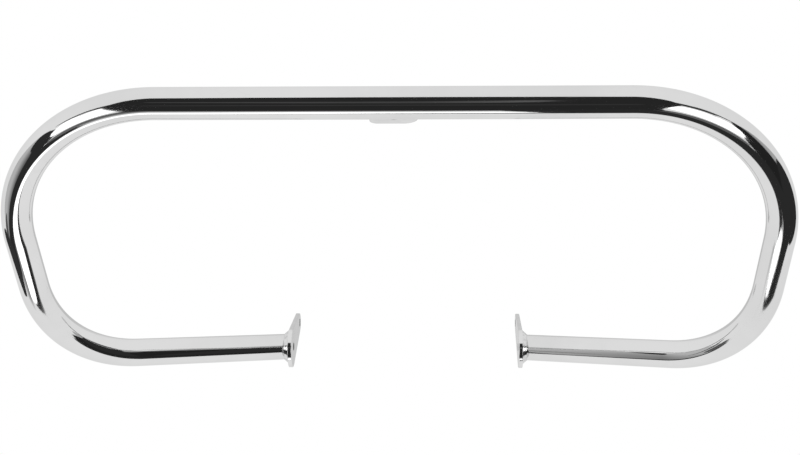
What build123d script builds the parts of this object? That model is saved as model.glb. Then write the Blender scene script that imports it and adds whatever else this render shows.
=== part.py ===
from build123d import *
import os
from dataclasses import dataclass
from math import cos, radians, sin, sqrt

# Motorcycle crash bars: one bent steel tube that loops out and round the engine, a two-hole flange welded
# to each lower end, and a tab welded behind the middle of the top bar. Millimetres and degrees.
# X runs across the motorcycle, +Y towards its rear and +Z up. The origin is the centre of the tab's bolt hole.

# The tube and its bends, from the middle of the top bar outwards
TUBE_DIAMETER = 31.75
TUBE_WALL = 2.4
TOP_BAR_LENGTH = 457.2
BEND_RADIUS = 162.0
SHOULDER_BEND_ANGLE = 92.0
SIDE_LENGTH = 62.0
BEND_PLANE_ANGLE = 32.5
ARM_BEND_ANGLE = 64.5
LOOP_TILT = 18.5

# The lower flanges, whose mating faces look at each other
FLANGE_SPACING = 279.4
FLANGE_THICKNESS = 5.0
FLANGE_HOLE_SPACING = 75.0
FLANGE_NOSE_RADIUS = 24.0
FLANGE_NOSE_OVERHANG = 4.0
FLANGE_EAR_RADIUS = 12.0
FLANGE_EDGE_RADIUS = 0.8

# The tab, which slopes down towards the rear from the tube's axis
TAB_WIDTH = 48.0
TAB_THICKNESS = 6.0
TAB_REACH = 50.0
TAB_HOLE_REACH = 34.0
TAB_SLOPE = 35.0
TAB_LEFT_CORNER_RADIUS = 8.0
TAB_RIGHT_CORNER_RADIUS = 15.0

# The bolt holes and the welds, whose toe on each arm leans with the arm
BOLT_HOLE_DIAMETER = 10.3
FLANGE_WELD_LEG = 5.5
FLANGE_WELD_HEIGHT = 5.6
FLANGE_WELD_LEAN = 3.5
TAB_WELD_LEG = 4.0
WELD_TOE = 0.4

# Values worked out from the sizes above
TUBE_RADIUS = TUBE_DIAMETER / 2
BORE_RADIUS = TUBE_RADIUS - TUBE_WALL
HOLE_RADIUS = BOLT_HOLE_DIAMETER / 2
FLANGE_OUTER_X = FLANGE_SPACING / 2 + FLANGE_THICKNESS
SAW_CUT = 4 * TUBE_DIAMETER
TAB_DIRECTION = Vector(0, cos(radians(TAB_SLOPE)), -sin(radians(TAB_SLOPE)))
TOP_BAR_MIDDLE = TAB_DIRECTION * -TAB_HOLE_REACH
LOOP_DOWN = Vector(0, sin(radians(LOOP_TILT)), -cos(radians(LOOP_TILT)))


@dataclass
class BendingHead:
    """The tube's course as a bending machine feeds it: where it is, where it heads and which way it bends."""

    place: Vector
    heading: Vector
    inward: Vector

    def feed(self, length):
        """Returns a straight run of the given length."""
        start = self.place
        self.place = start + self.heading * length
        return Line(start, self.place)

    def arc_point(self, angle):
        """Returns the point where a bend of the given angle would end."""
        along = self.heading * sin(radians(angle))
        across = self.inward * (1 - cos(radians(angle)))
        return self.place + (along + across) * BEND_RADIUS

    def bend(self, angle):
        """Returns a bend of the given angle towards the inward side."""
        start = self.place
        middle = self.arc_point(angle / 2)
        end = self.arc_point(angle)
        heading = self.heading * cos(radians(angle)) + self.inward * sin(radians(angle))
        self.inward = self.inward * cos(radians(angle)) - self.heading * sin(radians(angle))
        self.heading = heading
        self.place = end
        return ThreePointArc(start, middle, end)

    def turn(self, angle):
        """Turns the plane of the next bend towards the rear."""
        rearward = self.inward.cross(self.heading)
        self.inward = self.inward * cos(radians(angle)) + rearward * sin(radians(angle))

    def distance_to(self, x):
        """Returns how far ahead the plane at the given X lies."""
        return (x - self.place.X) / self.heading.X


def left_course():
    """Returns the runs and bends of the tube's left half, and the head at the flange's outer face."""
    head = BendingHead(TOP_BAR_MIDDLE, Vector(-1, 0, 0), LOOP_DOWN)
    runs = [head.feed(TOP_BAR_LENGTH / 2), head.bend(SHOULDER_BEND_ANGLE), head.feed(SIDE_LENGTH)]
    head.turn(BEND_PLANE_ANGLE)
    runs.append(head.bend(ARM_BEND_ANGLE))
    runs.append(head.feed(head.distance_to(-FLANGE_OUTER_X)))
    return runs, head


def left_half(diameter):
    """Returns the left half of the tube's course as a solid bar, cut off at the flange's outer face."""
    runs, head = left_course()
    end = head.place
    runs.append(head.feed(diameter))
    section = Plane(origin=TOP_BAR_MIDDLE, z_dir=Vector(-1, 0, 0)) * Circle(diameter / 2)
    bar = sweep(section, path=Wire([run.edge() for run in runs]))
    offcut = Box(*[SAW_CUT] * 3, align=(Align.MIN, Align.CENTER, Align.CENTER))
    return bar - Pos(end) * offcut


def full_bar(diameter):
    """Returns the whole course as one solid bar of the given diameter."""
    half = left_half(diameter)
    return half + mirror(half, about=Plane.YZ)


def flange_outline():
    """Returns the flange's outline: a wide nose and a narrow ear, joined by straight sides that touch both."""
    nose_x = -FLANGE_NOSE_OVERHANG
    ear_x = FLANGE_HOLE_SPACING
    slope_sine = (FLANGE_NOSE_RADIUS - FLANGE_EAR_RADIUS) / (ear_x - nose_x)
    slope_cosine = sqrt(1 - slope_sine**2)
    nose_top = (nose_x + FLANGE_NOSE_RADIUS * slope_sine, FLANGE_NOSE_RADIUS * slope_cosine)
    ear_top = (ear_x + FLANGE_EAR_RADIUS * slope_sine, FLANGE_EAR_RADIUS * slope_cosine)
    nose_tip = (nose_x - FLANGE_NOSE_RADIUS, 0)
    ear_tip = (ear_x + FLANGE_EAR_RADIUS, 0)
    nose_bottom = (nose_top[0], -nose_top[1])
    ear_bottom = (ear_top[0], -ear_top[1])
    sides = [Line(nose_top, ear_top), Line(ear_bottom, nose_bottom)]
    rounds = [ThreePointArc(ear_top, ear_tip, ear_bottom), ThreePointArc(nose_bottom, nose_tip, nose_top)]
    return make_face([curve.edge() for curve in sides + rounds])


def make_flange(end):
    """Returns the left flange, with its front hole where the tube's axis meets its outer face."""
    outer_face = Plane(origin=end, x_dir=Vector(0, 1, 0), z_dir=Vector(1, 0, 0))
    plate = extrude(outer_face * flange_outline(), FLANGE_THICKNESS)
    plate = fillet(plate.edges() - plate.edges().filter_by(Axis.X), FLANGE_EDGE_RADIUS)
    holes = Circle(HOLE_RADIUS) + Pos(FLANGE_HOLE_SPACING, 0) * Circle(HOLE_RADIUS)
    return plate - extrude(outer_face * holes, FLANGE_THICKNESS)


def make_flange_weld(end, heading, bar):
    """Returns the flat fillet weld between the tube's slanting end and the left flange's outer face."""
    across = Vector(1, 0, 0)
    long_axis = (heading - across * heading.X).normalized()
    toe_normal = across * cos(radians(FLANGE_WELD_LEAN)) + long_axis * sin(radians(FLANGE_WELD_LEAN))
    sections = []
    for height, width, normal in [(0, FLANGE_WELD_LEG, across), (FLANGE_WELD_HEIGHT, WELD_TOE, toe_normal)]:
        centre = end - heading * (height / heading.X)
        slant = heading.dot(normal)
        level = Plane(origin=centre, x_dir=heading - normal * slant, z_dir=-normal)
        sections.append(level * Ellipse(TUBE_RADIUS / slant + width, TUBE_RADIUS + width))
    return loft(sections, ruled=True) - bar


def tab_blank():
    """Returns the tab from the tube's axis outwards, rounded at its two far corners."""
    blank = Pos(0, TAB_REACH / 2) * Rectangle(TAB_WIDTH, TAB_REACH)
    left_corner = blank.vertices().group_by(Axis.Y)[-1].sort_by(Axis.X)[0]
    blank = fillet(left_corner, TAB_LEFT_CORNER_RADIUS)
    right_corner = blank.vertices().group_by(Axis.X)[-1].sort_by(Axis.Y)[-1]
    blank = fillet(right_corner, TAB_RIGHT_CORNER_RADIUS)
    blank -= Pos(0, TAB_HOLE_REACH) * Circle(HOLE_RADIUS)
    across = Vector(1, 0, 0)
    plane = Plane(origin=TOP_BAR_MIDDLE, x_dir=across, z_dir=across.cross(TAB_DIRECTION))
    return extrude(plane * blank, TAB_THICKNESS / 2, both=True)


def make_tab_weld(bar, blank):
    """Returns the flat fillet weld under the tab's root and round its ends, level with the tab's upper face."""
    foot = sqrt(TUBE_RADIUS**2 - (TAB_THICKNESS / 2 + TAB_WELD_LEG)**2)
    crest = TUBE_RADIUS + TAB_WELD_LEG
    sections = []
    for reach, width in [(foot, TAB_WELD_LEG), (crest, WELD_TOE)]:
        centre = TOP_BAR_MIDDLE + TAB_DIRECTION * reach
        level = Plane(origin=centre, x_dir=Vector(1, 0, 0), z_dir=TAB_DIRECTION)
        sections.append(level * Pos(0, width / 2) * Rectangle(TAB_WIDTH + 2 * width, TAB_THICKNESS + width))
    return loft(sections, ruled=True) - bar - blank


def build_pieces():
    """Returns every piece of the crash bars by its name."""
    runs, head = left_course()
    bar = full_bar(TUBE_DIAMETER)
    flange = make_flange(head.place)
    flange_weld = make_flange_weld(head.place, head.heading, bar)
    blank = tab_blank()
    return {
        "guard_tube": bar - full_bar(2 * BORE_RADIUS),
        "left_flange": flange,
        "right_flange": mirror(flange, about=Plane.YZ),
        "left_flange_weld": flange_weld,
        "right_flange_weld": mirror(flange_weld, about=Plane.YZ),
        "top_tab": blank - bar,
        "top_tab_weld": make_tab_weld(bar, blank),
    }


os.makedirs("parts", exist_ok=True)
for name, piece in build_pieces().items():
    export_step(piece, f"parts/{name}.step")
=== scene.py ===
"""Dresses the chromed crash bars: plated finishes, rippled weld beads and the studio that they mirror."""

import logging
import math
import random
from dataclasses import dataclass, field
from enum import Enum
from typing import ClassVar

import bmesh
import bpy
from mathutils import Matrix, Vector


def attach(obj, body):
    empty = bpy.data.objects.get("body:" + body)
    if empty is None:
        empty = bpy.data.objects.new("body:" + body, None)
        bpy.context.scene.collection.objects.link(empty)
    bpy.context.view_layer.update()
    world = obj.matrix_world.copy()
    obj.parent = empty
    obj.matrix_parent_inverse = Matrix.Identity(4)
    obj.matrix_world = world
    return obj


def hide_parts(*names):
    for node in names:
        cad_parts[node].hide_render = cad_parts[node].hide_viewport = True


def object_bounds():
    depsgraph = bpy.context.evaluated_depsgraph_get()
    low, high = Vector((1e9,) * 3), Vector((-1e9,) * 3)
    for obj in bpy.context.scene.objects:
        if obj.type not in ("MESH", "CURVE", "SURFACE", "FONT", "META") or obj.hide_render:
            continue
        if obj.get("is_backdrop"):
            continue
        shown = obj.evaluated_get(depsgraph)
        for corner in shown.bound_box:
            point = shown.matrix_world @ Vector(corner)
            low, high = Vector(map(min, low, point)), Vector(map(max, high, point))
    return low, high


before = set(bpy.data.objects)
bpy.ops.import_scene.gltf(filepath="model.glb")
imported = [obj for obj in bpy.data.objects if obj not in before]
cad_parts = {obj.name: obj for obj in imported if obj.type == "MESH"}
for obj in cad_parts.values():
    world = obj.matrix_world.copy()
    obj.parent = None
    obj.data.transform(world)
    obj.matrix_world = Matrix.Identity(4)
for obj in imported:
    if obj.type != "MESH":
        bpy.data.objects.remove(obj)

LOG = logging.getLogger("crash_bars")
Colour = tuple[float, float, float, float]
Point2 = tuple[float, float]
Point3 = tuple[float, float, float]

MM = 0.001
MERGE_DISTANCE = 0.001 * MM
VERTEX_MODE = (True, False, False)
FACE_MODE = (False, False, True)

# Sizes of the crash bars, in metres and degrees. The origin is the centre of the tab's bolt hole.
TUBE_RADIUS = 15.875 * MM
TUBE_WALL = 2.4 * MM
FLANGE_FACE_X = 144.7 * MM
TAB_SLOPE = 35.0
TAB_HOLE_REACH = 34.0 * MM
BAR_MIDDLE: Point3 = (
    0.0,
    -TAB_HOLE_REACH * math.cos(math.radians(TAB_SLOPE)),
    TAB_HOLE_REACH * math.sin(math.radians(TAB_SLOPE)),
)


class Slot(Enum):
    """The finish slots of the crash bars."""

    TUBE = "chromed_tube"
    PLATE = "chromed_plate"
    WELD = "chromed_weld"


class Side(Enum):
    """The two sides of the crash bars, as their pieces are named."""

    LEFT = "left"
    RIGHT = "right"


class Axis(Enum):
    """The axes of the studio, which a card looks along and may fade along."""

    ACROSS = 0
    AHEAD = 1
    UPWARD = 2


def new_group(name: str, inputs: dict[str, str], outputs: dict[str, str]) -> bpy.types.ShaderNodeTree:
    """Makes an empty shader node group with its sockets.

    Args:
        name: The group's name.
        inputs: Socket type of each named input.
        outputs: Socket type of each named output.

    Returns:
        The group, with one input node and one output node in it.
    """
    group = bpy.data.node_groups.new(name, "ShaderNodeTree")
    for label, kind in inputs.items():
        group.interface.new_socket(label, in_out="INPUT", socket_type=kind)
    for label, kind in outputs.items():
        group.interface.new_socket(label, in_out="OUTPUT", socket_type=kind)
    group.nodes.new("NodeGroupInput")
    group.nodes.new("NodeGroupOutput")
    return group


def remap(
    tree: bpy.types.NodeTree, source: bpy.types.NodeSocket, span: Point2, out: Point2
) -> bpy.types.NodeSocket:
    """Adds a clamped map range after a value.

    Args:
        tree: The node tree that the value belongs to.
        source: The value to map.
        span: The range that is read.
        out: The range that is given out.

    Returns:
        The mapped value.
    """
    node = tree.nodes.new("ShaderNodeMapRange")
    node.inputs["From Min"].default_value, node.inputs["From Max"].default_value = span
    node.inputs["To Min"].default_value, node.inputs["To Max"].default_value = out
    tree.links.new(source, node.inputs["Value"])
    return node.outputs["Result"]


def grey(value: float) -> Colour:
    """Gives an even grey."""
    return value, value, value, 1.0


def start_clean() -> None:
    """Deselects everything, so that an operator acts on the new piece alone."""
    bpy.ops.object.select_all(action="DESELECT")


def seal() -> None:
    """Merges the active piece's doubles and turns its faces outwards."""
    bpy.ops.object.mode_set(mode="EDIT")
    bpy.ops.mesh.select_all(action="SELECT")
    bpy.ops.mesh.remove_doubles(threshold=MERGE_DISTANCE)
    bpy.ops.mesh.normals_make_consistent(inside=False)
    bpy.ops.object.mode_set(mode="OBJECT")


def select_open_edges(piece: bpy.types.Object, least_y: float = -math.inf) -> None:
    """Selects the open edges of a piece and nothing else.

    Args:
        piece: The piece, in edit mode.
        least_y: Edges that start nearer the front than this are left out.
    """
    bpy.ops.mesh.select_all(action="DESELECT")
    mesh = bmesh.from_edit_mesh(piece.data)
    for edge in mesh.edges:
        if edge.is_boundary and edge.verts[0].co.y > least_y:
            edge.select = True
    mesh.select_flush_mode()
    bmesh.update_edit_mesh(piece.data)


class PlatingEffects:
    """The surface effects that the chromed finishes share, each a node group.

    A span is the part of a pattern's range that its mask is drawn from.
    """

    SOCKETS = {"Vector": "NodeSocketVector", "Scale": "NodeSocketFloat"}
    HAZE_DETAIL = 4.0
    HAZE_ROUGHNESS = 0.6
    HAZE_SPAN = (0.42, 0.66)
    LINE_WIDTH = 0.03
    LINE_BREAK_SCALE = 14.0
    LINE_BREAK_SPAN = (0.45, 0.7)
    WAVE_DETAIL = 1.0
    GROOVE_HEIGHT = 0.45
    SPECK_DETAIL = 3.0
    SPECK_SPAN = (0.35, 0.65)
    SPECK_MASK = (0.3, 1.0)

    def __init__(self) -> None:
        """Builds the node groups once."""
        self.haze = self.build_haze()
        self.hairlines = self.build_hairlines()
        self.waves = self.build_waves()
        # The groove mask paints shade into the weld's colour in its grooves and also makes them rougher
        self.grooves = self.build_groove_shade()

    def build_haze(self) -> bpy.types.ShaderNodeTree:
        """Builds the soft patches where the polish is a little duller.

        Returns:
            The group, which gives a mask.
        """
        group = new_group("plating_haze", self.SOCKETS, {"Mask": "NodeSocketFloat"})
        source, sink = group.nodes["Group Input"], group.nodes["Group Output"]
        noise = group.nodes.new("ShaderNodeTexNoise")
        noise.inputs["Detail"].default_value = self.HAZE_DETAIL
        noise.inputs["Roughness"].default_value = self.HAZE_ROUGHNESS
        group.links.new(source.outputs["Vector"], noise.inputs["Vector"])
        group.links.new(source.outputs["Scale"], noise.inputs["Scale"])
        patches = remap(group, noise.outputs["Fac"], self.HAZE_SPAN, (0.0, 1.0))
        group.links.new(patches, sink.inputs["Mask"])
        return group

    def build_hairlines(self) -> bpy.types.ShaderNodeTree:
        """Builds the hairlines that wiping leaves in a polished plating.

        Returns:
            The group, which gives a mask.
        """
        group = new_group("wiping_hairlines", self.SOCKETS, {"Mask": "NodeSocketFloat"})
        source, sink = group.nodes["Group Input"], group.nodes["Group Output"]
        cells = group.nodes.new("ShaderNodeTexVoronoi")
        cells.feature = "DISTANCE_TO_EDGE"
        group.links.new(source.outputs["Vector"], cells.inputs["Vector"])
        group.links.new(source.outputs["Scale"], cells.inputs["Scale"])
        lines = remap(group, cells.outputs["Distance"], (0.0, self.LINE_WIDTH), (1.0, 0.0))
        noise = group.nodes.new("ShaderNodeTexNoise")
        noise.inputs["Scale"].default_value = self.LINE_BREAK_SCALE
        group.links.new(source.outputs["Vector"], noise.inputs["Vector"])
        breaks = remap(group, noise.outputs["Fac"], self.LINE_BREAK_SPAN, (0.0, 1.0))
        broken = group.nodes.new("ShaderNodeMath")
        broken.operation = "MULTIPLY"
        group.links.new(lines, broken.inputs[0])
        group.links.new(breaks, broken.inputs[1])
        group.links.new(broken.outputs["Value"], sink.inputs["Mask"])
        return group

    def build_waves(self) -> bpy.types.ShaderNodeTree:
        """Builds the slow unevenness of hand polished steel under its plating.

        Returns:
            The group, which gives a height.
        """
        group = new_group("polish_waves", self.SOCKETS, {"Height": "NodeSocketFloat"})
        source, sink = group.nodes["Group Input"], group.nodes["Group Output"]
        noise = group.nodes.new("ShaderNodeTexNoise")
        noise.inputs["Detail"].default_value = self.WAVE_DETAIL
        group.links.new(source.outputs["Vector"], noise.inputs["Vector"])
        group.links.new(source.outputs["Scale"], noise.inputs["Scale"])
        group.links.new(noise.outputs["Fac"], sink.inputs["Height"])
        return group

    def build_groove_shade(self) -> bpy.types.ShaderNodeTree:
        """Builds the mask of the grooves between a weld bead's ripples, where shade is painted in and the
        plating is rougher.

        Returns:
            The group, which gives a mask.
        """
        sockets = {"Crest": "NodeSocketFloat", **self.SOCKETS}
        group = new_group("bead_groove_shade", sockets, {"Mask": "NodeSocketFloat"})
        source, sink = group.nodes["Group Input"], group.nodes["Group Output"]
        noise = group.nodes.new("ShaderNodeTexNoise")
        noise.inputs["Detail"].default_value = self.SPECK_DETAIL
        group.links.new(source.outputs["Vector"], noise.inputs["Vector"])
        group.links.new(source.outputs["Scale"], noise.inputs["Scale"])
        # Low in a ripple is a groove, where shade is painted in as a darker colour
        shaded_grooves = remap(group, source.outputs["Crest"], (0.0, self.GROOVE_HEIGHT), (1.0, 0.0))
        speck = remap(group, noise.outputs["Fac"], self.SPECK_SPAN, self.SPECK_MASK)
        mask = group.nodes.new("ShaderNodeMath")
        mask.operation = "MULTIPLY"
        group.links.new(shaded_grooves, mask.inputs[0])
        group.links.new(speck, mask.inputs[1])
        group.links.new(mask.outputs["Value"], sink.inputs["Mask"])
        return group


@dataclass(frozen=True)
class ChromeFinish:
    """Bright chrome plating over polished steel.

    Scales count patches a metre, and depths are metres.
    """

    # Places of a Mix node's colour sockets, which share their names with its other sockets
    TINT_FROM: ClassVar[int] = 6
    TINT_TO: ClassVar[int] = 7
    TINT_RESULT: ClassVar[int] = 2

    slot: Slot
    bright: Colour
    dull: Colour
    edge: Colour
    polish: float
    haze_roughness: float
    haze_scale: float
    line_scale: float
    wave_scale: float
    wave_depth: float

    def material(self, effects: PlatingEffects) -> bpy.types.Material:
        """Builds the finish's material.

        Args:
            effects: The shared plating effects.

        Returns:
            The material.
        """
        material = bpy.data.materials.new(self.slot.value + "_finish")
        material.use_nodes = True
        tree = material.node_tree
        shader = tree.nodes["Principled BSDF"]
        shader.inputs["Metallic"].default_value = 1.0
        shader.inputs["Specular Tint"].default_value = self.edge
        place = tree.nodes.new("ShaderNodeTexCoord").outputs["Object"]
        mask = self.dull_mask(tree, effects, place)
        tint = tree.nodes.new("ShaderNodeMix")
        tint.data_type = "RGBA"
        tint.inputs[self.TINT_FROM].default_value = self.bright
        tint.inputs[self.TINT_TO].default_value = self.dull
        tree.links.new(mask, tint.inputs["Factor"])
        tree.links.new(tint.outputs[self.TINT_RESULT], shader.inputs["Base Color"])
        roughness = remap(tree, mask, (0.0, 1.0), (self.polish, self.haze_roughness))
        tree.links.new(roughness, shader.inputs["Roughness"])
        waves = self.effect(tree, effects.waves, place, self.wave_scale)
        bump = tree.nodes.new("ShaderNodeBump")
        bump.inputs["Distance"].default_value = self.wave_depth
        tree.links.new(waves.outputs["Height"], bump.inputs["Height"])
        tree.links.new(bump.outputs["Normal"], shader.inputs["Normal"])
        return material

    def effect(
        self,
        tree: bpy.types.NodeTree,
        group: bpy.types.ShaderNodeTree,
        place: bpy.types.NodeSocket,
        scale: float,
    ) -> bpy.types.ShaderNodeGroup:
        """Places one of the shared effects in a material.

        Args:
            tree: The material's node tree.
            group: The effect's node group.
            place: The coordinates that the effect reads.
            scale: The effect's scale.

        Returns:
            The group's node.
        """
        node = tree.nodes.new("ShaderNodeGroup")
        node.node_tree = group
        node.inputs["Scale"].default_value = scale
        tree.links.new(place, node.inputs["Vector"])
        return node

    def dull_mask(
        self, tree: bpy.types.NodeTree, effects: PlatingEffects, place: bpy.types.NodeSocket
    ) -> bpy.types.NodeSocket:
        """Joins the haze and the hairlines.

        Args:
            tree: The material's node tree.
            effects: The shared plating effects.
            place: The coordinates that the effects read.

        Returns:
            A mask, 1 where the plating is dullest.
        """
        haze = self.effect(tree, effects.haze, place, self.haze_scale)
        lines = self.effect(tree, effects.hairlines, place, self.line_scale)
        both = tree.nodes.new("ShaderNodeMath")
        both.operation = "MAXIMUM"
        tree.links.new(haze.outputs["Mask"], both.inputs[0])
        tree.links.new(lines.outputs["Mask"], both.inputs[1])
        return both.outputs["Value"]


@dataclass(frozen=True)
class WeldFinish(ChromeFinish):
    """The same plating over a weld bead, rougher in the grooves between its ripples and painted darker there
    as shade.
    """

    def dull_mask(
        self, tree: bpy.types.NodeTree, effects: PlatingEffects, place: bpy.types.NodeSocket
    ) -> bpy.types.NodeSocket:
        """Adds the grooves, rougher and with painted shade, to the haze and the hairlines.

        Args:
            tree: The material's node tree.
            effects: The shared plating effects.
            place: The coordinates that the effects read.

        Returns:
            A mask, 1 where the plating is dullest or where the painted shade in the grooves is deepest.
        """
        # The crest height picks out the grooves, which are painted darker as shade and made rougher
        crest = tree.nodes.new("ShaderNodeAttribute")
        crest.attribute_name = RippledBead.CREST
        grooves = self.effect(tree, effects.grooves, place, self.haze_scale)
        tree.links.new(crest.outputs["Fac"], grooves.inputs["Crest"])
        both = tree.nodes.new("ShaderNodeMath")
        both.operation = "MAXIMUM"
        tree.links.new(grooves.outputs["Mask"], both.inputs[0])
        tree.links.new(super().dull_mask(tree, effects, place), both.inputs[1])
        return both.outputs["Value"]


class RippledBead:
    """What every weld bead shares: its ripples, its finish and its place on the crash bars.

    The steps say how high each station of a ripple stands, from its crest to its groove.
    The strengths are the least and the most that a ripple's depth is multiplied by.
    """

    CREST = "crest"
    STEPS = (1.0, 0.3, -0.35, -0.95)
    STRENGTHS = (0.7, 1.25)
    SHARP = math.radians(35.0)

    @staticmethod
    def select(bead: bpy.types.Object, wanted: set[int]) -> None:
        """Selects vertices of a bead in edit mode.

        Args:
            bead: The bead, in edit mode.
            wanted: Indices of the vertices to select.
        """
        mesh = bmesh.from_edit_mesh(bead.data)
        for vertex in mesh.verts:
            vertex.select = vertex.index in wanted
        mesh.select_flush_mode()
        bmesh.update_edit_mesh(bead.data)

    def raise_ripples(
        self, bead: bpy.types.Object, stations: dict[int, int], depth: float, seed: int
    ) -> None:
        """Lifts and sinks the stations along a bead into overlapping ripples.

        Args:
            bead: The bead, in edit mode.
            stations: Station along the bead of each vertex on its visible face.
            depth: Height of a ripple above the bead's mean surface, in metres.
            seed: Seed of the small differences between ripples.
        """
        chance = random.Random(seed)
        count = max(stations.values()) // len(self.STEPS) + 1
        strengths = [chance.uniform(*self.STRENGTHS) for _ in range(count)]
        for station in sorted(set(stations.values())):
            ripple, step = divmod(station, len(self.STEPS))
            self.select(bead, {vertex for vertex, at in stations.items() if at == station})
            bpy.ops.transform.shrink_fatten(value=depth * self.STEPS[step] * strengths[ripple])

    def mark_crests(self, bead: bpy.types.Object, stations: dict[int, int]) -> None:
        """Keeps how high each vertex stands in its ripple, from which the finish paints shade into the
        grooves.

        Args:
            bead: The bead, in object mode.
            stations: Station along the bead of each vertex on its visible face.
        """
        crest = bead.data.attributes.new(self.CREST, "FLOAT", "POINT")
        for vertex, station in stations.items():
            crest.data[vertex].value = 0.5 + 0.5 * self.STEPS[station % len(self.STEPS)]

    def smooth(self, bead: bpy.types.Object) -> None:
        """Subdivides a bead once, with its foot and its toe kept sharp, and shades it smooth.

        Args:
            bead: The bead, in object mode and active.
        """
        bpy.ops.object.mode_set(mode="EDIT")
        bpy.ops.mesh.select_all(action="DESELECT")
        bpy.ops.mesh.edges_select_sharp(sharpness=self.SHARP)
        bpy.ops.transform.edge_crease(value=1.0)
        bpy.ops.object.mode_set(mode="OBJECT")
        modifier = bead.modifiers.new("round", "SUBSURF")
        modifier.levels = modifier.render_levels = 1
        bpy.ops.object.modifier_apply(modifier=modifier.name)
        bpy.ops.object.shade_smooth_by_angle(angle=self.SHARP)

    def settle(self, bead: bpy.types.Object, place: Matrix) -> None:
        """Puts a bead where it belongs and leaves its place in its mesh.

        Args:
            bead: The bead, in object mode and active.
            place: Where the bead's own frame lies on the crash bars.
        """
        bead.matrix_world = place
        bpy.ops.object.transform_apply(location=True, rotation=True, scale=True)
        seal()

    def join_on(self, bead: bpy.types.Object, node: str, finish: bpy.types.Material) -> None:
        """Finishes a bead and lets it stand for its solid.

        Args:
            bead: The bead.
            node: Name of the solid weld.
            finish: The bead's material.
        """
        bead.data.materials.clear()
        bead.data.materials.append(finish)
        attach(bead, "root")
        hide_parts(node)


@dataclass(frozen=True)
class BeadRing:
    """One ring round a bead: how high its centre lies, its half axes and its tilt. Metres and radians."""

    height: float
    half_long: float
    half_short: float
    tilt: float


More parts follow.
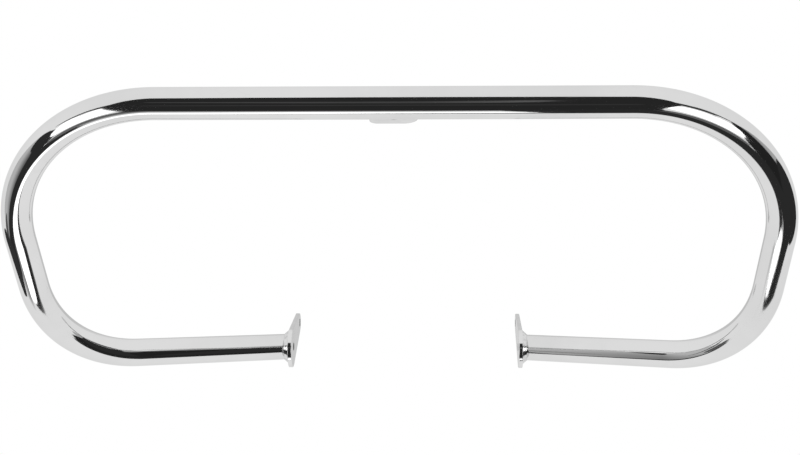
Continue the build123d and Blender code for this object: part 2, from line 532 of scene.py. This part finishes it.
@dataclass
class FlangeBeads(RippledBead):
    """The fillet beads between the tube's slanting ends and the flanges. Metres and degrees.

    The end is where the left arm's axis meets its flange, and the heading is the way the arm runs there.
    """

    # How near a ring a vertex counts as part of it: millimetres in height, and a share of the ring's size
    NEAR: ClassVar[float] = 0.01

    end: Vector
    heading: Vector
    tube_radius: float = TUBE_RADIUS
    leg: float = 5.5 * MM
    height: float = 5.6 * MM
    toe: float = 0.4 * MM
    toe_lean: float = 3.5
    steps_up: int = 8
    ripples: int = 40
    ripple_depth: float = 0.04 * MM
    ripple_bow: float = 3.0
    ripple_seed: int = 7

    @property
    def columns(self) -> int:
        """Number of stations round a bead."""
        return self.ripples * len(self.STEPS)

    @property
    def sideways(self) -> float:
        """How far the tube's axis moves along the flange for each metre along the tube."""
        return math.hypot(self.heading.y, self.heading.z)

    def centre(self, height: float) -> Point3:
        """Gives the point of the tube's axis at a height above the flange."""
        return -height * self.sideways / self.heading.x, 0.0, height

    def ring(self, share: float, leg: float, toe: float) -> BeadRing:
        """Gives a ring of the straight face between a width at the flange and a width at the leaning toe.

        Args:
            share: How far up the face the ring lies, 0 at the flange and 1 at the toe.
            leg: Width beyond the tube at the flange.
            toe: Width beyond the tube at the toe.

        Returns:
            The ring.
        """
        lean = math.radians(self.toe_lean)
        slant = self.heading.x * math.cos(lean) + self.sideways * math.sin(lean)
        foot_long = self.tube_radius / self.heading.x + leg
        toe_long = self.tube_radius / slant + toe
        run = foot_long + (toe_long * math.cos(lean) - foot_long) * share
        rise = toe_long * math.sin(lean) * share
        half_short = self.tube_radius + leg + (toe - leg) * share
        return BeadRing(self.height * share, math.hypot(run, rise), half_short, math.atan2(rise, run))

    def build(self, finish: bpy.types.Material) -> list[bpy.types.Object]:
        """Models the left bead and copies it to the right.

        Args:
            finish: The beads' material.

        Returns:
            The left bead and the right bead.
        """
        left = self.model()
        self.settle(left, self.place())
        start_clean()
        left.select_set(True)
        bpy.context.view_layer.objects.active = left
        bpy.ops.object.duplicate()
        right = bpy.context.object
        self.settle(right, Matrix.Scale(-1.0, 4, Vector((1.0, 0.0, 0.0))))
        beads = [left, right]
        for side, bead in zip(Side, beads):
            bead.name = f"{side.value}_flange_bead"
            self.join_on(bead, f"{side.value}_flange_weld", finish)
        return beads

    def place(self) -> Matrix:
        """Gives the frame of the left bead: long axis, short axis and the way out of the flange.

        Returns:
            The frame on the crash bars.
        """
        long_way = Vector((0.0, self.heading.y, self.heading.z)).normalized()
        outward = Vector((-1.0, 0.0, 0.0))
        short_way = outward.cross(long_way)
        turn = Matrix((long_way, short_way, outward)).transposed().to_4x4()
        return Matrix.Translation(self.end) @ turn

    def model(self) -> bpy.types.Object:
        """Models one bead on a flange that lies flat.

        Returns:
            The bead, in its own frame.
        """
        start_clean()
        bpy.ops.mesh.primitive_circle_add(vertices=self.columns, radius=1.0, fill_type="NOTHING")
        bead = bpy.context.object
        bpy.ops.object.mode_set(mode="EDIT")
        bpy.context.tool_settings.mesh_select_mode = VERTEX_MODE
        face = [self.ring(step / self.steps_up, self.leg, self.toe) for step in range(self.steps_up + 1)]
        loops = face + [self.ring(1.0, 0.0, 0.0), self.ring(0.0, 0.0, 0.0)]
        bpy.ops.transform.resize(value=(loops[0].half_long, loops[0].half_short, 1.0))
        for near, far in zip(loops, loops[1:]):
            rise = far.height - near.height
            bpy.ops.mesh.extrude_region_move(TRANSFORM_OT_translate={"value": self.centre(rise)})
            stretch = far.half_long / near.half_long
            size = (stretch, far.half_short / near.half_short, stretch)
            bpy.ops.transform.resize(value=size, center_override=self.centre(far.height))
            turn = far.tilt - near.tilt
            bpy.ops.transform.rotate(value=turn, orient_axis="Y", center_override=self.centre(far.height))
        select_open_edges(bead)
        bpy.ops.mesh.fill(use_beauty=True)
        bpy.ops.mesh.select_all(action="SELECT")
        bpy.ops.mesh.normals_make_consistent(inside=False)
        stations = self.find_stations(bead, face)
        self.raise_ripples(bead, stations, self.ripple_depth, self.ripple_seed)
        bpy.ops.object.mode_set(mode="OBJECT")
        self.mark_crests(bead, stations)
        self.smooth(bead)
        return bead

    def find_stations(self, bead: bpy.types.Object, face: list[BeadRing]) -> dict[int, int]:
        """Finds where along the bead each vertex of its flat face lies, the crests bowed like crescents.

        Args:
            bead: The bead, in edit mode.
            face: The rings of the flat face, from the foot to the toe.

        Returns:
            Station of each vertex between the foot and the toe.
        """
        stations = {}
        for vertex in bmesh.from_edit_mesh(bead.data).verts:
            for step, ring in enumerate(face[1:-1], start=1):
                spot = Matrix.Rotation(ring.tilt, 3, "Y") @ (vertex.co - Vector(self.centre(ring.height)))
                across = spot.x / ring.half_long
                along = spot.y / ring.half_short
                if abs(spot.z) < self.NEAR * MM and abs(math.hypot(across, along) - 1.0) < self.NEAR:
                    bow = self.ripple_bow * (2.0 * step / self.steps_up - 1.0) ** 2
                    column = math.atan2(along, across) / (2.0 * math.pi) * self.columns
                    stations[vertex.index] = round(column + bow) % self.columns
        return stations


@dataclass
class TabBead(RippledBead):
    """The fillet bead under the tab's root and round its ends. Metres and degrees.

    The section holds how far out from the tab and how far from the tube's axis each of its points lies.
    """

    # Points of the section on the bead's visible face, between its two toes
    FACE: ClassVar[slice] = slice(2, 5)

    bar_middle: Point3 = BAR_MIDDLE
    slope: float = TAB_SLOPE
    half_width: float = 24.0 * MM
    half_thickness: float = 3.0 * MM
    step: float = 1.0 * MM
    corner_steps: int = 4
    ripple_depth: float = 0.05 * MM
    ripple_seed: int = 11
    section: tuple[Point2, ...] = (
        (0.0, 19.875 * MM), (0.4 * MM, 19.875 * MM), (1.45 * MM, 18.45 * MM), (2.45 * MM, 16.95 * MM),
        (3.3 * MM, 15.5 * MM), (3.9 * MM, 14.45 * MM), (2.0 * MM, 14.3 * MM), (0.0, 15.3 * MM),
    )

    def build(self, finish: bpy.types.Material) -> bpy.types.Object:
        """Models the bead by drawing its section along the tab's root.

        Args:
            finish: The bead's material.

        Returns:
            The bead.
        """
        start_clean()
        bpy.ops.mesh.primitive_circle_add(vertices=len(self.section), radius=1.0, fill_type="NGON")
        bead = bpy.context.object
        bead.name = "top_tab_bead"
        bpy.ops.object.mode_set(mode="EDIT")
        bpy.context.tool_settings.mesh_select_mode = FACE_MODE
        mesh = bmesh.from_edit_mesh(bead.data)
        for vertex, (out, reach) in zip(mesh.verts, self.section):
            vertex.co = (-self.half_width - out, reach, self.half_thickness)
        bmesh.update_edit_mesh(bead.data)
        deep = round(2.0 * self.half_thickness / self.step)
        wide = round(2.0 * self.half_width / self.step)
        corner = Vector((-self.half_width, 0.0, -self.half_thickness))
        self.draw_run((0.0, 0.0, -self.step), deep)
        self.draw_corner(corner)
        self.draw_run((self.step, 0.0, 0.0), wide)
        self.draw_corner(Vector((-corner.x, corner.y, corner.z)))
        self.draw_run((0.0, 0.0, self.step), deep)
        bpy.ops.mesh.select_all(action="SELECT")
        bpy.ops.mesh.normals_make_consistent(inside=False)
        bpy.context.tool_settings.mesh_select_mode = VERTEX_MODE
        stations = self.find_stations(bead)
        self.raise_ripples(bead, stations, self.ripple_depth, self.ripple_seed)
        bpy.ops.object.mode_set(mode="OBJECT")
        self.mark_crests(bead, stations)
        self.smooth(bead)
        self.settle(bead, self.place())
        self.join_on(bead, "top_tab_weld", finish)
        return bead

    def place(self) -> Matrix:
        """Gives the bead's frame: across the tab, out along it and up from its upper face.

        Returns:
            The frame on the crash bars.
        """
        turn = Matrix.Rotation(math.radians(-self.slope), 4, "X")
        return Matrix.Translation(self.bar_middle) @ turn

    def draw_run(self, move: Point3, count: int) -> None:
        """Draws the section straight on.

        Args:
            move: One step of the run.
            count: Number of steps.
        """
        for _ in range(count):
            bpy.ops.mesh.extrude_region_move(TRANSFORM_OT_translate={"value": move})

    def draw_corner(self, corner: Vector) -> None:
        """Draws the section round a lower corner of the tab.

        Args:
            corner: The corner, at the tube's axis.
        """
        turn = math.radians(90.0) / self.corner_steps
        for _ in range(self.corner_steps):
            bpy.ops.mesh.extrude_region_move(TRANSFORM_OT_translate={"value": (0.0, 0.0, 0.0)})
            bpy.ops.transform.rotate(value=turn, orient_axis="Y", center_override=corner)

    def find_stations(self, bead: bpy.types.Object) -> dict[int, int]:
        """Finds where along the tab's root each vertex of the bead's face lies.

        Args:
            bead: The bead, in edit mode.

        Returns:
            Station of each vertex between the bead's two toes.
        """
        stations = {}
        face = {round(reach / MM, 2) for _, reach in self.section[self.FACE]}
        deep = 2.0 * self.half_thickness
        bend = self.corner_steps * self.step
        for vertex in bmesh.from_edit_mesh(bead.data).verts:
            if round(vertex.co.y / MM, 2) not in face:
                continue
            beyond = abs(vertex.co.x) - self.half_width
            below = -self.half_thickness - vertex.co.z
            if beyond <= MERGE_DISTANCE:
                way = vertex.co.x + self.half_width + bend + deep
            else:
                turned = bend * math.atan2(max(below, 0.0), beyond) / (0.5 * math.pi)
                way = deep + turned if below > 0.0 else deep + below
                if vertex.co.x > 0.0:
                    way = 2.0 * (deep + bend + self.half_width) - way
            stations[vertex.index] = round(way / self.step)
        return stations


@dataclass
class GuardTube:
    """The bent tube, drawn through the same straight runs and bends as its solid. Metres and degrees.

    Its outer wall keeps a hair's breadth clear of the beads' inner walls.
    """

    BEAD_CLEARANCE: ClassVar[float] = 0.015 * MM

    middle: Point3 = BAR_MIDDLE
    outer_radius: float = TUBE_RADIUS - BEAD_CLEARANCE
    bore_radius: float = TUBE_RADIUS - TUBE_WALL
    half_top: float = 228.6 * MM
    bend_radius: float = 162.0 * MM
    shoulder_angle: float = 92.0
    side_length: float = 62.0 * MM
    bend_plane_angle: float = 32.5
    arm_angle: float = 64.5
    tilt: float = 18.5
    face_x: float = FLANGE_FACE_X
    arm_zone_y: float = 100.0 * MM
    columns: int = 96
    bend_step: float = 1.5
    sharp_angle: float = 40.0
    place: Vector = field(init=False)
    heading: Vector = field(init=False)
    inward: Vector = field(init=False)
    end: Vector = field(init=False)

    def build(self, finish: bpy.types.Material) -> bpy.types.Object:
        """Draws the left half, saws its end off, mirrors it and puts it in the place of its solid.

        Args:
            finish: The tube's material.

        Returns:
            The tube.
        """
        tube = self.start_rings()
        self.place = Vector(self.middle)
        self.heading = Vector((-1.0, 0.0, 0.0))
        slope = math.radians(self.tilt)
        self.inward = Vector((0.0, math.sin(slope), -math.cos(slope)))
        self.feed(self.half_top)
        self.bend(self.shoulder_angle)
        self.feed(self.side_length)
        self.turn(self.bend_plane_angle)
        self.bend(self.arm_angle)
        to_face = (-self.face_x - self.place.x) / self.heading.x
        self.end = self.place + self.heading * to_face
        self.feed(to_face + 2.0 * self.outer_radius)
        self.saw_off(tube)
        self.mirror(tube)
        tube.data.materials.append(finish)
        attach(tube, "root")
        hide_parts("guard_tube")
        return tube

    def start_rings(self) -> bpy.types.Object:
        """Makes the rings of the outer wall and of the bore at the middle of the top bar.

        Returns:
            The new piece, in edit mode with both rings selected.
        """
        start_clean()
        upright = (0.0, math.radians(90.0), 0.0)
        bpy.ops.mesh.primitive_circle_add(
            vertices=self.columns, radius=self.outer_radius, location=self.middle, rotation=upright)
        tube = bpy.context.object
        tube.name = "bent_tube"
        bpy.ops.object.transform_apply(location=True, rotation=True, scale=True)
        bpy.ops.object.mode_set(mode="EDIT")
        bpy.context.tool_settings.mesh_select_mode = VERTEX_MODE
        bpy.ops.mesh.primitive_circle_add(
            vertices=self.columns, radius=self.bore_radius, location=self.middle, rotation=upright)
        bpy.ops.mesh.select_all(action="SELECT")
        return tube

    def feed(self, length: float) -> None:
        """Draws the rings straight on.

        Args:
            length: Length of the run.
        """
        move = self.heading * length
        bpy.ops.mesh.extrude_region_move(TRANSFORM_OT_translate={"value": move})
        self.place = self.place + move

    def bend(self, angle: float) -> None:
        """Draws the rings round a bend towards the inward side.

        Args:
            angle: Angle of the bend.
        """
        centre = self.place + self.inward * self.bend_radius
        axis = self.heading.cross(self.inward)
        steps = round(angle / self.bend_step)
        bpy.ops.mesh.spin(steps=steps, angle=math.radians(-angle), center=centre, axis=axis, dupli=False)
        turned = Matrix.Rotation(math.radians(angle), 3, axis)
        self.place = centre - turned @ self.inward * self.bend_radius
        self.heading = turned @ self.heading
        self.inward = turned @ self.inward

    def turn(self, angle: float) -> None:
        """Turns the plane of the next bend towards the rear.

        Args:
            angle: Angle of the turn.
        """
        rearward = self.inward.cross(self.heading)
        self.inward = self.inward * math.cos(math.radians(angle)) + rearward * math.sin(math.radians(angle))

    def saw_off(self, tube: bpy.types.Object) -> None:
        """Cuts the arm off slanting at the flange's outer face and closes the wall there.

        Args:
            tube: The tube, in edit mode.
        """
        mesh = bmesh.from_edit_mesh(tube.data)
        for vertex in mesh.verts:
            vertex.select = vertex.co.y > self.arm_zone_y
        mesh.select_flush_mode()
        bmesh.update_edit_mesh(tube.data)
        bpy.ops.mesh.bisect(
            plane_co=(-self.face_x, 0.0, 0.0), plane_no=(1.0, 0.0, 0.0), use_fill=False, clear_outer=True)
        select_open_edges(tube, self.arm_zone_y)
        bpy.ops.mesh.fill(use_beauty=True)
        bpy.ops.object.mode_set(mode="OBJECT")

    def mirror(self, tube: bpy.types.Object) -> None:
        """Adds the right half and shades the tube smooth.

        Args:
            tube: The left half, in object mode and active.
        """
        modifier = tube.modifiers.new("right_half", "MIRROR")
        modifier.merge_threshold = MERGE_DISTANCE
        bpy.ops.object.modifier_apply(modifier=modifier.name)
        seal()
        bpy.ops.object.shade_smooth_by_angle(angle=math.radians(self.sharp_angle))


@dataclass(frozen=True)
class Fade:
    """How a card's light changes along an axis: its own glow up to the start and another from the end on."""

    glow: float
    along: Axis
    start: float
    end: float


@dataclass(frozen=True)
class StudioCard:
    """A flat card in the studio that only the chrome mirrors: a black flag, a grey wall or a soft box.

    The outline holds the two coordinates that the card's axis leaves over, in metres.
    A glow of 1 is white.
    """

    CORNER_CUTS: ClassVar[int] = 2
    CUT: ClassVar[float] = 0.25

    name: str
    facing: Axis
    place: float
    outline: tuple[Point2, ...]
    glow: float
    fade: Fade | None = None

    def corner(self, point: Point2) -> Point3:
        """Puts a point of the outline in its place in the studio.

        Args:
            point: The point of the outline.

        Returns:
            The point in the studio.
        """
        spot = list(point)
        spot.insert(self.facing.value, self.place)
        return spot[0], spot[1], spot[2]

    def rounded(self) -> list[Point2]:
        """Cuts the outline's corners, each a quarter of the way along its sides, and then the new ones.

        Returns:
            The rounded outline.
        """
        outline = list(self.outline)
        for _ in range(self.CORNER_CUTS):
            sides = zip(outline, outline[1:] + outline[:1])
            cuts = (self.CUT, 1.0 - self.CUT)
            outline = [tuple(Vector(start).lerp(Vector(end), way)) for start, end in sides for way in cuts]
        return outline

    def build(self) -> None:
        """Makes the card and marks it as stage."""
        mesh = bpy.data.meshes.new(self.name)
        corners = [self.corner(point) for point in self.rounded()]
        mesh.from_pydata(corners, [], [list(range(len(corners)))])
        mesh.materials.append(self.material())
        card = bpy.data.objects.new(self.name, mesh)
        bpy.context.scene.collection.objects.link(card)
        card.visible_camera = card.visible_diffuse = card.visible_shadow = card.visible_transmission = False
        card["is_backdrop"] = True

    def material(self) -> bpy.types.Material:
        """Makes the card's even or fading light.

        Returns:
            The material.
        """
        material = bpy.data.materials.new(self.name + "_light")
        material.use_nodes = True
        tree = material.node_tree
        tree.nodes.clear()
        light = tree.nodes.new("ShaderNodeEmission")
        light.inputs["Strength"].default_value = self.glow
        if self.fade is not None:
            parts = tree.nodes.new("ShaderNodeSeparateXYZ")
            tree.links.new(tree.nodes.new("ShaderNodeTexCoord").outputs["Object"], parts.inputs["Vector"])
            way = parts.outputs[self.fade.along.value]
            fading = remap(tree, way, (self.fade.start, self.fade.end), (self.glow, self.fade.glow))
            tree.links.new(fading, light.inputs["Strength"])
        sink = tree.nodes.new("ShaderNodeOutputMaterial")
        tree.links.new(light.outputs["Emission"], sink.inputs["Surface"])
        return material


@dataclass
class Studio:
    """The pale floor, the white surround, the cards and the camera.

    Lengths are metres and angles degrees, and the camera's lens and sensor are millimetres.
    The camera's place, angles and lens were fitted to the tube's edges in the photograph.
    """

    cards: tuple[StudioCard, ...]
    floor_half: float = 12.0
    floor_drop: float = 1.0 * MM
    floor_colour: Colour = grey(0.8)
    camera_place: Point3 = (0.05447, -1.29645, 0.34246)
    camera_pitch: float = 19.494
    camera_yaw: float = 2.064
    camera_lens: float = 61.58
    camera_sensor: float = 36.0

    def build(self) -> None:
        """Builds the whole studio."""
        self.add_surround()
        self.add_floor()
        for card in self.cards:
            card.build()
        self.add_camera()

    def add_surround(self) -> None:
        """Makes an even white surround."""
        world = bpy.data.worlds.new("white_surround")
        world.use_nodes = True
        background = world.node_tree.nodes["Background"]
        background.inputs["Color"].default_value = grey(1.0)
        background.inputs["Strength"].default_value = 1.0
        bpy.context.scene.world = world

    def add_floor(self) -> None:
        """Lays the pale floor under the crash bars."""
        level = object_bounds()[0][2] - self.floor_drop
        start_clean()
        bpy.ops.mesh.primitive_plane_add(size=2.0 * self.floor_half, location=(0.0, 0.0, level))
        floor = bpy.context.object
        floor.name = "studio_floor"
        floor.data.materials.append(self.floor_material())
        floor.visible_glossy = False
        floor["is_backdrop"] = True

    def floor_material(self) -> bpy.types.Material:
        """Makes the floor's matt white, even white where it is looked at.

        Returns:
            The material.
        """
        material = bpy.data.materials.new("floor_white")
        material.use_nodes = True
        tree = material.node_tree
        tree.nodes.clear()
        matt = tree.nodes.new("ShaderNodeBsdfDiffuse")
        matt.inputs["Color"].default_value = self.floor_colour
        even = tree.nodes.new("ShaderNodeEmission")
        path = tree.nodes.new("ShaderNodeLightPath")
        seen = tree.nodes.new("ShaderNodeMath")
        seen.operation = "MAXIMUM"
        tree.links.new(path.outputs["Is Camera Ray"], seen.inputs[0])
        tree.links.new(path.outputs["Is Transmission Ray"], seen.inputs[1])
        mix = tree.nodes.new("ShaderNodeMixShader")
        tree.links.new(seen.outputs["Value"], mix.inputs["Fac"])
        tree.links.new(matt.outputs["BSDF"], mix.inputs[1])
        tree.links.new(even.outputs["Emission"], mix.inputs[2])
        sink = tree.nodes.new("ShaderNodeOutputMaterial")
        tree.links.new(mix.outputs["Shader"], sink.inputs["Surface"])
        return material

    def add_camera(self) -> None:
        """Sets up the camera at the photograph's viewing angle."""
        lens = bpy.data.cameras.new("studio_camera")
        lens.lens = self.camera_lens
        lens.sensor_width = self.camera_sensor
        camera = bpy.data.objects.new("studio_camera", lens)
        camera.location = self.camera_place
        camera.rotation_mode = "ZYX"
        camera.rotation_euler = (math.radians(90.0 - self.camera_pitch), math.radians(self.camera_yaw), 0.0)
        bpy.context.scene.collection.objects.link(camera)
        bpy.context.scene.camera = camera


CARDS = (
    # The black wall ahead, and the thin dark rim that shows beyond it
    StudioCard("front_flag", Axis.AHEAD, -2.0, (
        (-0.9, -1.9), (-1.0, -0.4), (-2.0, 1.3), (-0.8, 2.7),
        (0.6, 2.7), (1.7, 1.4), (0.7, -0.4), (0.8, -1.9),
    ), 0.025),
    StudioCard("front_rim", Axis.AHEAD, -2.005, (
        (-2.6, 0.8), (-2.6, 1.4), (2.6, 1.4), (2.6, 0.7),
    ), 0.05),
    # The soft box in each front corner, with a dark rim above it and dark grey below
    StudioCard("left_box", Axis.AHEAD, -2.01, (
        (-0.7, -0.8), (-2.2, -1.0), (-2.4, 0.5), (-1.4, 0.9),
    ), 2.0),
    StudioCard("left_box_side", Axis.ACROSS, -2.0, (
        (-2.2, -1.3), (-1.0, 0.4), (-2.2, 0.6),
    ), 2.0),
    StudioCard("left_rim", Axis.ACROSS, -1.99, (
        (-2.2, 1.0), (-2.2, 1.6), (-0.5, 0.1),
    ), 0.1),
    StudioCard("right_box", Axis.AHEAD, -2.01, (
        (0.7, -0.8), (2.3, -1.0), (2.2, 0.6), (1.0, 0.5),
    ), 2.0),
    StudioCard("right_box_side", Axis.ACROSS, 2.0, (
        (-2.1, -1.0), (-1.1, 0.3), (-2.1, 0.6),
    ), 2.0),
    StudioCard("right_rim", Axis.ACROSS, 1.99, (
        (-2.2, 1.1), (-2.2, 1.6), (-0.5, 0.4),
    ), 0.05),
    StudioCard("left_under", Axis.AHEAD, -2.02, (
        (-0.6, -1.0), (-2.3, -1.2), (-1.0, -2.1),
    ), 0.16),
    StudioCard("right_under", Axis.AHEAD, -2.02, (
        (0.4, -1.0), (2.3, -1.2), (0.3, -2.2),
    ), 0.16),
    # The left flank, black towards the front and grey further back
    StudioCard("left_flag", Axis.ACROSS, -2.01, (
        (-2.1, -0.9), (-1.6, 0.0), (-0.5, 0.4), (-0.5, 0.0), (-1.4, -0.8), (-0.8, -2.0), (-2.1, -2.0),
    ), 0.03),
    StudioCard("left_grey", Axis.ACROSS, -2.02, (
        (-1.8, -3.0), (-1.6, -0.6), (-0.8, 0.6), (0.6, -0.5),
    ), 0.16, Fade(0.6, Axis.AHEAD, -1.1, -0.4)),
    StudioCard("left_low", Axis.ACROSS, -1.99, (
        (-0.6, -2.0), (0.1, -1.1), (-0.5, -1.1),
    ), 0.12),
    # The right flank, with a nearer flag that only the right side of the loop mirrors
    StudioCard("right_flag", Axis.ACROSS, 2.01, (
        (-2.3, -1.3), (-0.9, 1.1), (-0.5, -0.3), (0.4, -0.3), (-0.5, -1.9), (-2.3, -2.1),
    ), 0.02),
    StudioCard("side_flag", Axis.ACROSS, 1.0, (
        (-0.6, -0.7), (0.0, 0.1), (0.3, -0.3), (0.2, -0.5), (-0.5, -1.0),
    ), 0.03),
    StudioCard("right_grey", Axis.ACROSS, 2.02, (
        (-1.2, 0.7), (-0.4, 0.5), (0.6, -0.2), (0.4, -1.0), (-0.5, -1.1),
    ), 0.3, Fade(0.5, Axis.AHEAD, -0.65, -0.25)),
    # The floor, with the white strip that the top bar mirrors as a line
    StudioCard("left_floor", Axis.UPWARD, -1.8, (
        (-2.4, -3.0), (-2.4, -0.1), (-1.0, -1.0), (-0.9, -1.7),
    ), 0.03),
    StudioCard("left_floor_grey", Axis.UPWARD, -1.81, (
        (-1.6, -0.6), (-0.7, -0.5), (-1.2, -1.8),
    ), 0.35, Fade(1.1, Axis.AHEAD, -0.85, -0.5)),
    StudioCard("right_floor", Axis.UPWARD, -1.8, (
        (2.0, -2.7), (2.8, -0.6), (1.7, -0.55), (0.2, -1.1), (0.7, -2.0),
    ), 0.03),
    StudioCard("right_floor_grey", Axis.UPWARD, -1.81, (
        (2.3, -1.2), (2.2, -0.7), (-0.5, -0.8), (-0.5, -1.0),
    ), 0.03, Fade(0.7, Axis.AHEAD, -0.85, -0.6)),
    StudioCard("ribbon", Axis.UPWARD, -1.79, (
        (-1.0, -1.3), (-0.9, -0.8), (0.4, -1.0), (0.3, -1.4),
    ), 2.0),
    StudioCard("front_floor", Axis.UPWARD, -1.8, (
        (-1.1, -2.5), (-1.2, -1.5), (0.3, -1.6), (0.2, -2.3),
    ), 1.1, Fade(0.1, Axis.AHEAD, -1.15, -2.15)),
    # Nearer flags, one that ends the top bar's white line and one under the left side of the loop
    StudioCard("bar_tip", Axis.UPWARD, -0.6, (
        (0.1, -0.8), (0.2, -0.3), (0.25, -0.3), (0.6, -0.4), (0.5, -0.8),
    ), 0.03),
    StudioCard("left_tip", Axis.UPWARD, -0.6, (
        (-1.3, 0.4), (-0.65, -0.1), (-0.7, -0.25), (-1.2, 0.05),
    ), 0.04),
    # Faint streaks on the black wall ahead, and a pale card behind the crash bars
    StudioCard("streak", Axis.AHEAD, -1.99, (
        (-1.1, 0.9), (0.2, 0.2), (0.4, 1.2), (0.0, 0.8),
    ), 0.07, Fade(0.14, Axis.ACROSS, 0.0, 0.3)),
    StudioCard("faint_streak", Axis.AHEAD, -1.99, (
        (-0.8, -0.15), (0.6, -0.2), (0.6, 0.05), (-0.8, 0.1),
    ), 0.045),
    StudioCard("back_flag", Axis.AHEAD, 2.5, (
        (-1.0, -1.6), (-1.0, 0.5), (1.0, 0.5), (1.0, -1.6),
    ), 0.75, Fade(1.0, Axis.UPWARD, -0.4, 0.5)),
)

BRIGHT = grey(0.71)
EDGE = grey(0.87)
CHROMED_TUBE = ChromeFinish(
    slot=Slot.TUBE, bright=BRIGHT, dull=grey(0.67), edge=EDGE, polish=0.035, haze_roughness=0.075,
    haze_scale=9.0, line_scale=55.0, wave_scale=7.0, wave_depth=0.02 * MM,
)
CHROMED_PLATE = ChromeFinish(
    slot=Slot.PLATE, bright=BRIGHT, dull=grey(0.65), edge=EDGE, polish=0.05, haze_roughness=0.12,
    haze_scale=40.0, line_scale=90.0, wave_scale=60.0, wave_depth=0.02 * MM,
)
# The weld's dull grey is random haze and hairlines, and it is also painted shade in the grooves between its
# ripples
CHROMED_WELD = WeldFinish(
    slot=Slot.WELD, bright=BRIGHT, dull=grey(0.53), edge=EDGE, polish=0.07, haze_roughness=0.2,
    haze_scale=250.0, line_scale=120.0, wave_scale=150.0, wave_depth=0.02 * MM,
)


def main() -> None:
    """Dresses the crash bars, piece by piece, and sets up the studio."""
    logging.basicConfig(level=logging.INFO, format="%(message)s")
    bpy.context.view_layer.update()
    effects = PlatingEffects()
    tube, plate, weld = (finish.material(effects) for finish in (CHROMED_TUBE, CHROMED_PLATE, CHROMED_WELD))
    finishes = {"guard_tube": tube, "top_tab": plate, "top_tab_weld": weld}
    for side in Side:
        finishes[f"{side.value}_flange"] = plate
        finishes[f"{side.value}_flange_weld"] = weld
    for node, finish in finishes.items():
        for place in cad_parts[node].material_slots:
            place.material = finish
        LOG.info("%s has %s", node, finish.name)
    guard = GuardTube()
    pieces = [guard.build(tube)]
    pieces.extend(FlangeBeads(guard.end, guard.heading).build(weld))
    pieces.append(TabBead().build(weld))
    for piece in pieces:
        LOG.info("%s has %d faces", piece.name, len(piece.data.polygons))
    Studio(CARDS).build()
    bpy.context.scene.view_settings.view_transform = "Standard"


if __name__ == "__main__":
    main()
